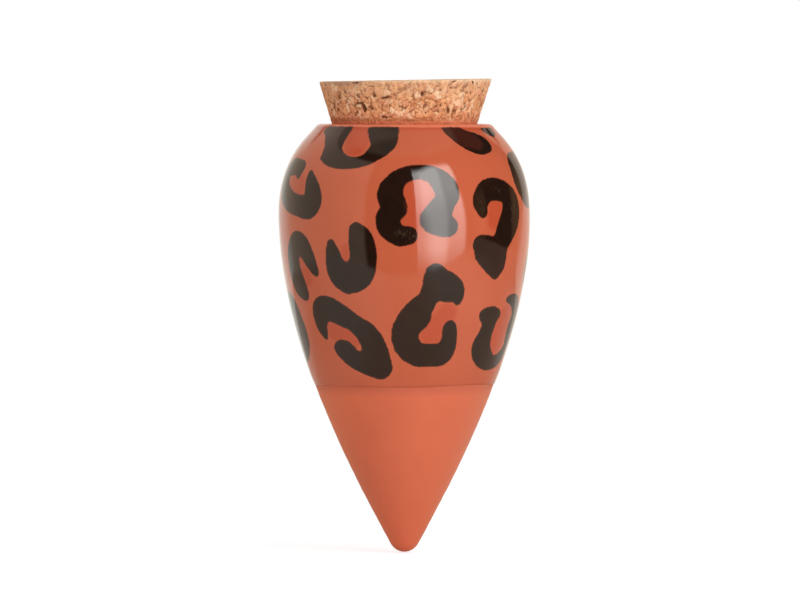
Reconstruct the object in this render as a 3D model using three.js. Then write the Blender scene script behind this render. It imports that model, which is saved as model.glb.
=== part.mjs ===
// Terracotta olla: a watering pot that is pushed into the soil up to its glaze line.
// Water seeps out through the bare cone below the line. The glaze keeps it in above the line,
// and a tapered cork closes the mouth. Millimetres, +Z up, origin on the axis at the glaze line.
import * as THREE from "three";

// Outline of the clay, from the rim over the belly down to the tip.
const RIM_HEIGHT = 93; // flat rim above the glaze line
const RIM_RADIUS = 30.9; // where the shoulder leaves the rim
const BELLY_HEIGHT = 60.5; // widest ring above the glaze line
const BELLY_RADIUS = 44.6;
const TIP_DEPTH = 60; // end of the tip below the glaze line
const TIP_RADIUS = 5.5; // ball that rounds the tip
const TIP_HALF_ANGLE = THREE.MathUtils.degToRad(29); // of the cone, where it meets the ball

// Reach of the curve's handles: how long the outline keeps its direction at each end.
const SHOULDER_START = THREE.MathUtils.degToRad(60); // fall of the shoulder at the rim
const SHOULDER_REACH = 4.7; // down the shoulder, from the rim
const BELLY_REACH_UP = 22.5;
const BELLY_REACH_DOWN = 41;
const CONE_REACH = 35.5; // up the cone, from the tip

// Wall, rim and cavity.
const WALL = 5.5;
const CAVITY_TIP_RADIUS = 5; // ball that rounds the bottom of the cavity
const SEAT_DEPTH = 3; // tapered seat for the cork, below the rim
const LIP_DROP = 2; // from the seat's lower edge to where the wall has its own thickness
const RIM_EDGE = 1.2; // sponged outer edge of the rim
const MOUTH_EDGE = 0.6; // sponged inner edge of the rim

// Glaze, fused to the outside of the clay from the rim to the line.
const GLAZE_THICKNESS = 0.35;
const GLAZE_GAP = 0.05; // keeps the coat and the clay two solids

// Cork.
const CORK_HEIGHT = 26;
const CORK_TOP_RADIUS = 31;
const CORK_TAPER = THREE.MathUtils.degToRad(17.6); // each side, from the axis
const CORK_PROUD = 16; // top of the cork above the rim
const CORK_EDGE = 0.8; // worn edge at the top and the bottom
const SEAT_CLEARANCE = 0.3; // between the cork and the seat, measured level

// Fineness of the curves.
const SIDES = 48;
const SHOULDER_STEPS = 8;
const FLANK_STEPS = 7; // belly to glaze line
const CONE_STEPS = 7; // glaze line to tip
const EDGE_STEPS = 3;
const BALL_STEPS = 4;

const point = (radius, height) => new THREE.Vector2(radius, height);

// Share along a curve at which a value that falls steadily becomes zero.
function shareWhereZero(value) {
  let low = 0;
  let high = 1;
  for (let halving = 0; halving < 50; halving++) {
    const middle = (low + high) / 2;
    if (value(middle) > 0) low = middle;
    else high = middle;
  }
  return (low + high) / 2;
}

// Points of a curve from one share to another, both ends included.
function sample(curve, from, to, steps) {
  return Array.from({ length: steps + 1 }, (_, i) => curve.getPoint(from + ((to - from) * i) / steps));
}

// A worn corner: leaves the line from one point and reaches the next, bending round the corner.
const wornCorner = (from, corner, to) => new THREE.QuadraticBezierCurve(from, corner, to).getPoints(EDGE_STEPS);

// Unit vector to the right of travel, which is into the clay on a path that runs down the outside.
const rightOf = (direction) => point(direction.y, -direction.x).normalize();

// The path moved out by a distance, to the left of travel, with its corners kept sharp.
function offsetPath(path, distance) {
  return path.map((here, i) => {
    const before = path[Math.max(i - 1, 0)];
    const after = path[Math.min(i + 1, path.length - 1)];
    const sideBefore = rightOf(i > 0 ? here.clone().sub(before) : after.clone().sub(here));
    const sideAfter = rightOf(i < path.length - 1 ? after.clone().sub(here) : here.clone().sub(before));
    const side = sideBefore.clone().add(sideAfter).normalize();
    return here.clone().addScaledVector(side, -distance / side.dot(sideBefore));
  });
}

// Quarter of a ball on the axis, from where it touches the cone at this point down to the axis.
function ballEnd(touch, halfAngle) {
  const radius = touch.x / Math.cos(halfAngle);
  const centre = touch.y + radius * Math.sin(halfAngle);
  return Array.from({ length: BALL_STEPS + 1 }, (_, i) => {
    const turn = (Math.PI / 2 - halfAngle) * (1 - i / BALL_STEPS);
    return point(radius * Math.sin(turn), centre - radius * Math.cos(turn));
  });
}

// A closed profile of radius and height, turned about +Z.
const turned = (profile) => new THREE.LatheGeometry(profile, SIDES).rotateX(Math.PI / 2);

// Cork cone, which the mouth is cut to: level radius of the cork at a height.
const corkTop = RIM_HEIGHT + CORK_PROUD;
const corkBottom = corkTop - CORK_HEIGHT;
const corkRadius = (height) => CORK_TOP_RADIUS - (corkTop - height) * Math.tan(CORK_TAPER);
const mouthRadius = (height) => corkRadius(height) + SEAT_CLEARANCE;

// Outline of the clay: a shoulder and a flank that meet upright at the belly.
const rimCorner = point(RIM_RADIUS, RIM_HEIGHT);
const belly = point(BELLY_RADIUS, BELLY_HEIGHT);
const tipTouch = point(
  TIP_RADIUS * Math.cos(TIP_HALF_ANGLE),
  TIP_RADIUS * (1 - Math.sin(TIP_HALF_ANGLE)) - TIP_DEPTH,
);
const shoulder = new THREE.CubicBezierCurve(
  rimCorner,
  point(
    RIM_RADIUS + SHOULDER_REACH * Math.cos(SHOULDER_START),
    RIM_HEIGHT - SHOULDER_REACH * Math.sin(SHOULDER_START),
  ),
  point(BELLY_RADIUS, BELLY_HEIGHT + BELLY_REACH_UP),
  belly,
);
const flank = new THREE.CubicBezierCurve(
  belly,
  point(BELLY_RADIUS, BELLY_HEIGHT - BELLY_REACH_DOWN),
  point(
    tipTouch.x + CONE_REACH * Math.sin(TIP_HALF_ANGLE),
    tipTouch.y + CONE_REACH * Math.cos(TIP_HALF_ANGLE),
  ),
  tipTouch,
);
const lineShare = shareWhereZero((share) => flank.getPoint(share).y);
const edgeShare = shareWhereZero((share) => RIM_EDGE - shoulder.getPoint(share).distanceTo(rimCorner));

// Rim and glazed outside, from the mouth out over the rim and down to the glaze line.
const mouthCorner = point(mouthRadius(RIM_HEIGHT), RIM_HEIGHT);
const rimInner = point(mouthCorner.x + MOUTH_EDGE, RIM_HEIGHT);
const glazedOutside = [
  rimInner,
  ...wornCorner(point(RIM_RADIUS - RIM_EDGE, RIM_HEIGHT), rimCorner, shoulder.getPoint(edgeShare)),
  ...sample(shoulder, edgeShare, 1, SHOULDER_STEPS).slice(1),
  ...sample(flank, 0, lineShare, FLANK_STEPS).slice(1),
];

// Bare cone, from the glaze line to the end of the tip.
const bareOutside = [
  ...sample(flank, lineShare, 1, CONE_STEPS).slice(1),
  ...ballEnd(tipTouch, TIP_HALF_ANGLE).slice(1),
];

// Inside of the wall: the outline moved in by the wall, from the lip to the cavity's rounded bottom.
function insideOfWall() {
  const inset = (curve, share) =>
    curve.getPoint(share).addScaledVector(rightOf(curve.getTangent(share)), WALL);
  const halfAngleAt = (share) => {
    const along = flank.getTangent(share);
    return Math.atan2(-along.x, -along.y);
  };
  const lipHeight = RIM_HEIGHT - SEAT_DEPTH - LIP_DROP;
  const lipShare = shareWhereZero((share) => inset(shoulder, share).y - lipHeight);
  const bottomShare = shareWhereZero(
    (share) => inset(flank, share).x / Math.cos(halfAngleAt(share)) - CAVITY_TIP_RADIUS,
  );
  const along = (curve, from, to, steps) =>
    Array.from({ length: steps + 1 }, (_, i) => inset(curve, from + ((to - from) * i) / steps));
  return [
    ...along(shoulder, lipShare, 1, SHOULDER_STEPS),
    ...along(flank, 0, bottomShare, FLANK_STEPS + CONE_STEPS).slice(1),
    ...ballEnd(inset(flank, bottomShare), halfAngleAt(bottomShare)).slice(1),
  ];
}

// Clay body: one hollow casting with an open mouth.
function clayBody() {
  const seatBottom = point(mouthRadius(RIM_HEIGHT - SEAT_DEPTH), RIM_HEIGHT - SEAT_DEPTH);
  const seatTop = point(mouthRadius(RIM_HEIGHT - MOUTH_EDGE), RIM_HEIGHT - MOUTH_EDGE);
  const inside = [...insideOfWall().reverse(), seatBottom];
  const mouth = wornCorner(seatTop, mouthCorner, rimInner).slice(0, -1);
  return turned([...inside, ...mouth, ...glazedOutside, ...bareOutside].reverse());
}

// Glaze coat: a skin of even thickness over the rim and the belly, with a rounded bead at the line.
function glazeCoat() {
  const back = offsetPath(glazedOutside, GLAZE_GAP);
  const face = offsetPath(glazedOutside, GLAZE_GAP + GLAZE_THICKNESS);
  const backEnd = back.at(-1);
  const faceEnd = face.at(-1);
  const fall = backEnd.clone().sub(back.at(-2)).normalize();
  const bead = backEnd.clone().lerp(faceEnd, 0.5).addScaledVector(fall, GLAZE_THICKNESS / 2);
  return turned([...face, bead, ...back.reverse(), face[0]].reverse());
}

// Cork stopper: a tapered plug of pressed cork with worn edges.
function corkStopper() {
  const topCorner = point(CORK_TOP_RADIUS, corkTop);
  const bottomCorner = point(corkRadius(corkBottom), corkBottom);
  const side = topCorner.clone().sub(bottomCorner).normalize();
  const bottomEdge = wornCorner(
    point(bottomCorner.x - CORK_EDGE, corkBottom),
    bottomCorner,
    bottomCorner.clone().addScaledVector(side, CORK_EDGE),
  );
  const topEdge = wornCorner(
    topCorner.clone().addScaledVector(side, -CORK_EDGE),
    topCorner,
    point(topCorner.x - CORK_EDGE, corkTop),
  );
  return turned([point(0, corkBottom), ...bottomEdge, ...topEdge, point(0, corkTop)]);
}

// One finished piece of the assembly.
function piece(name, geometry, look) {
  const mesh = new THREE.Mesh(geometry, new THREE.MeshStandardMaterial({ metalness: 0, ...look }));
  mesh.name = name;
  return mesh;
}

const pot = new THREE.Group();
pot.add(
  piece("clay_body", clayBody(), { color: 0xd06b48, roughness: 0.85 }),
  piece("glaze_coat", glazeCoat(), { color: 0xc65a38, roughness: 0.12 }),
);

const stopper = new THREE.Group();
stopper.add(piece("cork_stopper", corkStopper(), { color: 0xd9a273, roughness: 0.9 }));

const olla = new THREE.Group();
olla.add(pot, stopper);

export default olla;
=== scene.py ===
import bpy
import numpy as np
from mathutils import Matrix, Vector


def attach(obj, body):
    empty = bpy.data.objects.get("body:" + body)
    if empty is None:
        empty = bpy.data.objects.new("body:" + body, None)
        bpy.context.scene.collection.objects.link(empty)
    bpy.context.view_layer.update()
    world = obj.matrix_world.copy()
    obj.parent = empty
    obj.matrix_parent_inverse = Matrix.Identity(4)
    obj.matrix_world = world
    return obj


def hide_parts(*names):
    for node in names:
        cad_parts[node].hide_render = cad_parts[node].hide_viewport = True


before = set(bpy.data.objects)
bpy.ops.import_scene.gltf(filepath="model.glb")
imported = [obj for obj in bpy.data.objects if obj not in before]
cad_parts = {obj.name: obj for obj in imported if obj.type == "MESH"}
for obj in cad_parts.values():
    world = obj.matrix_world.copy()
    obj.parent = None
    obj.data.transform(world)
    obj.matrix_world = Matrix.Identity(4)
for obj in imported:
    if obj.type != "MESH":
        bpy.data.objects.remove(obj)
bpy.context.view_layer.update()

# Clay body: the hollow teardrop of the olla, slip-cast in red earthenware and fired before it is glazed.
# The cast wall is 5.5 mm thick, and the rim and the mouth are sponged round while the clay is damp.
# The cone below the glaze line stays bare, because water has to seep through it into the soil.
MM = 0.001
RIM_HEIGHT = 93.0
RIM_RADIUS = 30.9
RIM_EDGE = 1.2
BELLY_HEIGHT = 60.5
BELLY_RADIUS = 44.6
TIP_DEPTH = 60.0
TIP_RADIUS = 5.5
TIP_HALF_ANGLE = np.radians(29)
SHOULDER_FALL = np.radians(60)
SHOULDER_REACH = 4.7
BELLY_REACH_UP = 22.5
BELLY_REACH_DOWN = 41.0
CONE_REACH = 35.5
WALL = 5.5
CAVITY_TIP_RADIUS = 5.0
LIP_HEIGHT = 88.0
SEAT_HEIGHT = 90.0
MOUTH_EDGE = 0.6
MOUTH_RADIUS = 26.22
SEAT_SLOPE = np.tan(np.radians(17.6))
CLAY_STEPS = 240
CLAY_RING = 0.8
MOUTH_RING = 0.25
CAVITY_RING = 2.0
OUTLINE_STEP = 0.1
CURVE_POINTS = 600
ARC_POINTS = 200
RIM_POINTS = 50
RIPPLE_WAVES = 14
AXIS_FADE = 4.0
SPONGE_DEPTH = 0.05
SPONGE_COARSE = 14.0
SPONGE_FINE = 5.0
PORE_DEPTH = 0.03
CLAY_ROUGHNESS = 0.78
CLAY_SHEEN = 0.34
LEFT_BOUNCE_SIDE = (-12, -28)
SHADE_BELOW_GLAZE_HEIGHT = (-4.4, 0.4)

CLAY_RED = (0.65, 0.115, 0.041, 1)
CLAY_PALE = (0.74, 0.149, 0.058, 1)
CLAY_LEFT_BOUNCE = (0.79, 0.150, 0.050, 1)
CLAY_DARK = (0.52, 0.092, 0.040, 1)
CLAY_DUST = (1.0, 0.66, 0.45, 1)


def bend(start, leaving, arriving, end):
    """Cubic curve from start to end, drawn towards two handles: a Bernstein sum of the four points."""
    share = np.linspace(0, 1, CURVE_POINTS)[:, None]
    rest = 1 - share
    points = [np.array(point, float) for point in (start, leaving, arriving, end)]
    weights = [rest**3, 3 * rest**2 * share, 3 * rest * share**2, share**3]
    return sum(weight * point for weight, point in zip(weights, points))


def worn_corner(start, corner, end):
    """Rounded corner: a cubic curve whose handles lie two thirds of the way to the sharp corner."""
    start, corner, end = (np.array(point, float) for point in (start, corner, end))
    return bend(start, start + (corner - start) * 2 / 3, end + (corner - end) * 2 / 3, end)


def ball_end(touch, half_angle):
    """Round end of a cone: the arc of a circle on the axis, from the axis to where it meets the cone."""
    radius = touch[0] / np.cos(half_angle)
    centre = touch[1] + radius * np.sin(half_angle)
    turn = np.linspace(0, np.pi / 2 - half_angle, ARC_POINTS)
    return np.stack([radius * np.sin(turn), centre - radius * np.cos(turn)], axis=1)


def run_of(path):
    """Length of the path from its start to each of its points."""
    return np.concatenate([[0], np.cumsum(np.linalg.norm(np.diff(path, axis=0), axis=1))])


def evenly(path, spacing):
    """The same path with its points at even steps of its own length."""
    run = run_of(path)
    places = np.linspace(0, run[-1], int(run[-1] / spacing) + 2)
    return np.stack([np.interp(places, run, path[:, axis]) for axis in (0, 1)], axis=1)


def right_of(path):
    """Unit vector to the right of travel at each point: out of the clay on a path up its outside."""
    along = np.gradient(path, axis=0)
    side = np.stack([along[:, 1], -along[:, 0]], axis=1)
    return side / np.linalg.norm(side, axis=1, keepdims=True)


def mouth_radius(height):
    """Radius of the tapered mouth at a height: a straight cone that matches the cork."""
    return MOUTH_RADIUS - (RIM_HEIGHT - height) * SEAT_SLOPE


tip_touch = TIP_RADIUS * np.array([np.cos(TIP_HALF_ANGLE), 1 - np.sin(TIP_HALF_ANGLE)])
tip_touch = tip_touch - (0, TIP_DEPTH)
cone_way = np.array([np.sin(TIP_HALF_ANGLE), np.cos(TIP_HALF_ANGLE)])
rim_corner = np.array([RIM_RADIUS, RIM_HEIGHT])
shoulder_way = np.array([np.cos(SHOULDER_FALL), -np.sin(SHOULDER_FALL)])
belly = np.array([BELLY_RADIUS, BELLY_HEIGHT])
flank = bend(tip_touch, tip_touch + CONE_REACH * cone_way, belly - (0, BELLY_REACH_DOWN), belly)
shoulder_start = rim_corner + SHOULDER_REACH * shoulder_way
shoulder = bend(belly, belly + (0, BELLY_REACH_UP), shoulder_start, rim_corner)
shoulder = shoulder[np.linalg.norm(shoulder - rim_corner, axis=1) > RIM_EDGE]
rim_edge = worn_corner(shoulder[-1], rim_corner, rim_corner - (RIM_EDGE, 0))
rim_inner = np.array([MOUTH_RADIUS + MOUTH_EDGE, RIM_HEIGHT])
rim_flat = np.linspace(rim_edge[-1], rim_inner, RIM_POINTS)
tip = ball_end(tip_touch, TIP_HALF_ANGLE)
outside = np.vstack([tip, flank[1:], shoulder[1:], rim_edge[1:], rim_flat[1:]])
outside = evenly(outside, OUTLINE_STEP)
outside_side = right_of(outside)
outside_run = run_of(outside)
outside_run -= np.interp(0, outside[:, 1], outside_run)


def on_outside(run, proud):
    """Radius and height of the clay's outside at a run from the glaze line, moved out by so much."""
    base = [np.interp(run, outside_run, outside[:, axis]) for axis in (0, 1)]
    side = [np.interp(run, outside_run, outside_side[:, axis]) for axis in (0, 1)]
    return base[0] + proud * side[0], base[1] + proud * side[1]


def turned(radius, height, steps):
    """Rings round the axis: x = r sin a and y = -r cos a, with a in degrees right of the front."""
    angle = np.radians(np.arange(steps) * 360 / steps - 180)
    rings = np.broadcast_arrays(radius * np.sin(angle), -radius * np.cos(angle), height)
    return np.stack(rings, axis=-1)


def ripples(points, length, seed):
    """Soft unevenness of about -1 to 1: the mean of plane waves of one length in random directions."""
    draw = np.random.default_rng(seed)
    ways = draw.normal(size=(RIPPLE_WAVES, 3))
    ways /= np.linalg.norm(ways, axis=1, keepdims=True)
    ways *= 2 * np.pi / length * draw.uniform(0.7, 1.4, (RIPPLE_WAVES, 1))
    starts = draw.uniform(0, 2 * np.pi, RIPPLE_WAVES)
    return np.sin(points @ ways.T + starts).sum(axis=-1) * np.sqrt(2 / RIPPLE_WAVES)


def new_piece(name, rings, ends=None):
    """Mesh of a grid in millimetres, ring after ring, each ring closed on itself.
    Two end points on the axis close its first and last ring, or else the last ring joins the first."""
    count, steps = rings.shape[:2]
    index = np.arange(count * steps).reshape(count, steps)
    index = np.vstack([index, index[:1]]) if ends is None else index
    beside = np.roll(index, -1, axis=1)
    faces = np.stack([index[:-1], beside[:-1], beside[1:], index[1:]], axis=-1)
    faces = faces.reshape(-1, 4).tolist()
    points = rings.reshape(-1, 3)
    if ends is not None:
        first = np.full(steps, len(points))
        points = np.vstack([points, ends])
        faces += np.stack([beside[0], index[0], first], axis=-1).tolist()
        faces += np.stack([index[-1], beside[-1], first + 1], axis=-1).tolist()
    mesh = bpy.data.meshes.new(name)
    mesh.from_pydata((points * MM).tolist(), [], faces)
    mesh.shade_smooth()
    piece = bpy.data.objects.new(name, mesh)
    bpy.context.scene.collection.objects.link(piece)
    return piece


class Term:
    """One output of a shader node. Arithmetic on terms and numbers adds Math nodes to its tree."""

    def __init__(self, finish, output):
        self.finish = finish
        self.output = output

    def maths(self, operation, *terms):
        """Math node of one operation on these terms and numbers."""
        return self.finish.add("Math", {"operation": operation}, dict(enumerate(terms)))

    def __add__(self, other):
        return self.maths("ADD", self, other)

    def __radd__(self, other):
        return self.maths("ADD", other, self)

    def __sub__(self, other):
        return self.maths("SUBTRACT", self, other)

    def __rsub__(self, other):
        return self.maths("SUBTRACT", other, self)

    def __mul__(self, other):
        return self.maths("MULTIPLY", self, other)

    def __rmul__(self, other):
        return self.maths("MULTIPLY", other, self)

    def rise(self, low, high):
        """Smooth step from 0 at low to 1 at high, or down from 1 to 0 if low is the larger."""
        if low > high:
            return 1 - self.rise(high, low)
        settings = {"interpolation_type": "SMOOTHSTEP"}
        sockets = {"Value": self, "From Min": low, "From Max": high}
        return self.finish.add("MapRange", settings, sockets, "Result")


class Finish:
    """A node tree that is written as expressions: the finish of a piece, or the light of the studio."""

    def __init__(self, tree):
        self.tree = tree
        self.tree.nodes.clear()

    def add(self, kind, settings, sockets, output=0):
        """New node of a kind: its settings first, then a number, colour or term for each socket."""
        node = self.tree.nodes.new("ShaderNode" + kind)
        for name, value in settings.items():
            setattr(node, name, value)
        for key, value in sockets.items():
            socket = self.find(node.inputs, key)
            if isinstance(value, Term):
                self.tree.links.new(value.output, socket)
            else:
                socket.default_value = value
        return Term(self, self.find(node.outputs, output)) if node.outputs else node

    def find(self, sockets, key):
        """Socket by its place in the list, or by the identifier that tells a Mix node's apart."""
        if isinstance(key, int):
            return sockets[key]
        return next(socket for socket in sockets if socket.identifier == key)

    def place(self):
        """Where the point is on the piece, in metres."""
        return self.add("TexCoord", {}, {}, "Object")

    def along(self, axis):
        """Place of the point along one axis, in millimetres."""
        return self.add("SeparateXYZ", {}, {"Vector": self.place()}, axis) * 1000

    def stretched(self, x, y, z):
        """Place of the point with each axis scaled, to draw a pattern out along one of them."""
        scale = {"operation": "MULTIPLY"}
        return self.add("VectorMath", scale, {0: self.place(), 1: (x, y, z)}, "Vector")

    def grain(self, size, detail, place=None):
        """Noise of about -1 to 1, with blots of this many millimetres."""
        sockets = {"Vector": place or self.place(), "Scale": 1 / (size * MM), "Detail": detail}
        return (self.add("TexNoise", {}, sockets, "Fac") - 0.5) * 3

    def curled(self, size, push):
        """Place of the point, pushed about by noise of one size, so that straight seams curl."""
        sockets = {"Vector": self.place(), "Scale": 1 / (size * MM), "Detail": 2}
        noise = self.add("TexNoise", {}, sockets, "Color")
        middle = (0.5, 0.5, 0.5)
        way = self.add("VectorMath", {"operation": "SUBTRACT"}, {0: noise, 1: middle}, "Vector")
        amount = (3 * push * MM,) * 3
        pushed = {0: way, 1: amount, 2: self.place()}
        return self.add("VectorMath", {"operation": "MULTIPLY_ADD"}, pushed, "Vector")

    def mark(self, name):
        """The number that the mesh carries at each point under this name."""
        return self.add("Attribute", {"attribute_name": name}, {}, "Fac")

    def mix(self, share, first, second):
        """From the first colour to the second as the share goes from 0 to 1."""
        colours = {"Factor_Float": share, "A_Color": first, "B_Color": second}
        return self.add("Mix", {"data_type": "RGBA"}, colours, "Result_Color")

    def bump(self, height, depth):
        """Normal for relief too fine for the mesh: a height of 1 stands for a depth in millimetres."""
        return self.add("Bump", {}, {"Height": height, "Distance": depth * MM}, "Normal")

    def end(self, kind, shader):
        """The tree's output node."""
        return self.add("Output" + kind, {}, {"Surface": shader})


def new_finish(name):
    """A material with an empty node tree."""
    material = bpy.data.materials.new(name)
    material.use_nodes = True
    return material, Finish(material.node_tree)


outer_count = int((outside_run[-1] - outside_run[0]) / CLAY_RING)
outer_run = np.linspace(outside_run[0], outside_run[-1], outer_count)
outer = np.stack(on_outside(outer_run[1:], 0), axis=1)
seat_top = (mouth_radius(RIM_HEIGHT - MOUTH_EDGE), RIM_HEIGHT - MOUTH_EDGE)
seat_bottom = (mouth_radius(SEAT_HEIGHT), SEAT_HEIGHT)
mouth_corner = worn_corner(rim_inner, (MOUTH_RADIUS, RIM_HEIGHT), seat_top)
seat = evenly(np.array([mouth_corner[-1], seat_bottom]), CLAY_RING)
wall = outside - WALL * outside_side
lean = np.arctan2(-outside_side[:, 1], outside_side[:, 0])
above_bottom = wall[:, 0] > CAVITY_TIP_RADIUS * np.cos(lean)
below_rim = outside[:, 1] < RIM_HEIGHT - RIM_EDGE
wall = wall[above_bottom & below_rim & (wall[:, 1] < LIP_HEIGHT)]
bottom_lean = np.arctan2(*(wall[1] - wall[0]))
cavity = np.vstack([ball_end(wall[0], bottom_lean), wall[1:], [seat_bottom]])
cavity = evenly(cavity, CAVITY_RING)[::-1]
clay_path = np.vstack([outer, evenly(mouth_corner, MOUTH_RING)[1:], seat[1:], cavity[1:-1]])
clay_rings = turned(clay_path[:, :1], clay_path[:, 1:], CLAY_STEPS)
sponged = 0.6 * ripples(clay_rings, SPONGE_COARSE, 3) + 0.4 * ripples(clay_rings, SPONGE_FINE, 4)
off_axis = np.clip((clay_path[:, :1] - 1) / AXIS_FADE, 0, 1)
sponged = SPONGE_DEPTH * sponged * off_axis / np.maximum(clay_path[:, :1], AXIS_FADE)
clay_rings[..., :2] *= 1 + sponged[..., None]
clay = new_piece("clay_body_surface", clay_rings, [(0, 0, outside[0, 1]), (0, 0, cavity[-1, 1])])

clay_material, finish = new_finish("bare_terracotta")
blotch = finish.grain(16, 2)
speckle = finish.grain(0.5, 3)
tone = finish.mix(0.5 + 0.3 * blotch + 0.22 * speckle, CLAY_RED, CLAY_PALE)
# Painted light: the clay turns a paler, warmer orange towards the left side, standing in for light
# bounced from the left wall.
left_bounce = (finish.along("X") + 3 * blotch).rise(*LEFT_BOUNCE_SIDE)
tone = finish.mix(left_bounce * 0.8, tone, CLAY_LEFT_BOUNCE)
# Painted shade: the clay darkens over the last few millimetres below the glaze line, under the glaze's
# edge.
shade_below_glaze = (finish.along("Z") + 0.3 * blotch).rise(*SHADE_BELOW_GLAZE_HEIGHT)
tone = finish.mix(shade_below_glaze * 0.66, tone, CLAY_DARK)
grog = finish.grain(1.3, 4).rise(0.75, 1.2)
pores = finish.grain(0.35, 2) * 0.6 + finish.grain(1.6, 3) * 0.4
finish.end("Material", finish.add("BsdfPrincipled", {}, {
    "Base Color": finish.mix(grog * 0.5, tone, CLAY_DARK),
    "Roughness": CLAY_ROUGHNESS + 0.08 * speckle,
    "Specular IOR Level": 0.6,
    "Sheen Weight": CLAY_SHEEN,
    "Sheen Roughness": 0.5,
    "Sheen Tint": CLAY_DUST,
    "Normal": finish.bump(pores, PORE_DEPTH),
}))
clay.data.materials.append(clay_material)
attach(clay, "pot")
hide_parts("clay_body")

# Glaze coat: a clear orange glaze over the rim and the belly, fired again until it runs smooth.
# The pot is dipped upside down, so the coat ends in a wavy bead at the line where the soil will stand.
# Its leopard spots are brushed on under the glaze in black slip, and the rim is wiped before firing.
GLAZE_PROUD = 0.40
GLAZE_BACK = 0.03
GLAZE_THIN = 0.24
THIN_LENGTH = 3.0
GLAZE_STEPS = 448
FACE_RINGS = 164
BACK_RINGS = 12
BEAD_RINGS = 7
GLAZE_WAVE = 0.05
GLAZE_WAVE_LENGTH = 26.0
GLAZE_GLOSS = 0.06
GLAZE_INDEX = 1.52
PEEL_DEPTH = 0.004
WIPED_ROUGHNESS = 0.15
PAINT_TOP = 92.2
PAINT_TOP_SLOPE = 0.006
PAINT_REACH = 4.0
PAINT_PASSES = 2
SLIP_SPREAD = 0.33
DABS = 16

# Lower edge of the coat: degrees to the right of the front, height.
LINE_WAVE = [
    (-170, 0.30), (-120, 0.05), (-60, 0.25), (-24, 0.22), (0, 0.0), (44, 0.8), (90, 0.55), (140, 0.0),
]
LINE_PASSES = 60

# Millimetres from the edge of a stroke, the coat or the wiped rim over which one colour meets the next.
WASH_EDGE = (1.7, -0.9)
BEAD_SHADE_EDGE = (1.1, 0.1)
RIM_LINE_EDGE = (-1.4, -0.3)
RIM_WIPED_EDGE = (0.05, 0.4)
THIN_EDGE = (0.9, -1.3)
DRY_EDGE = (1.2, -1.6)
SLIP_FEATHER = (-0.5, 0.05)
SLIP_EDGE = (0.11, -0.11)

GLAZE_ORANGE = (0.600, 0.129, 0.059, 1)
GLAZE_DEEP = (0.550, 0.106, 0.045, 1)
GLAZE_WASH = (0.52, 0.078, 0.031, 1)
GLAZE_BEAD_SHADE = (0.40, 0.068, 0.030, 1)
RIM_WIPED = (0.78, 0.198, 0.104, 1)
RIM_LINE = (0.46, 0.054, 0.019, 1)
SLIP_BLACK = (0.012, 0.0050, 0.0028, 1)
SLIP_BROWN = (0.026, 0.0090, 0.0045, 1)
SLIP_RED = (0.054, 0.0125, 0.0070, 1)
SLIP_THIN = (0.150, 0.034, 0.015, 1)
SLIP_DRY = (0.075, 0.046, 0.027, 1)

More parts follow.
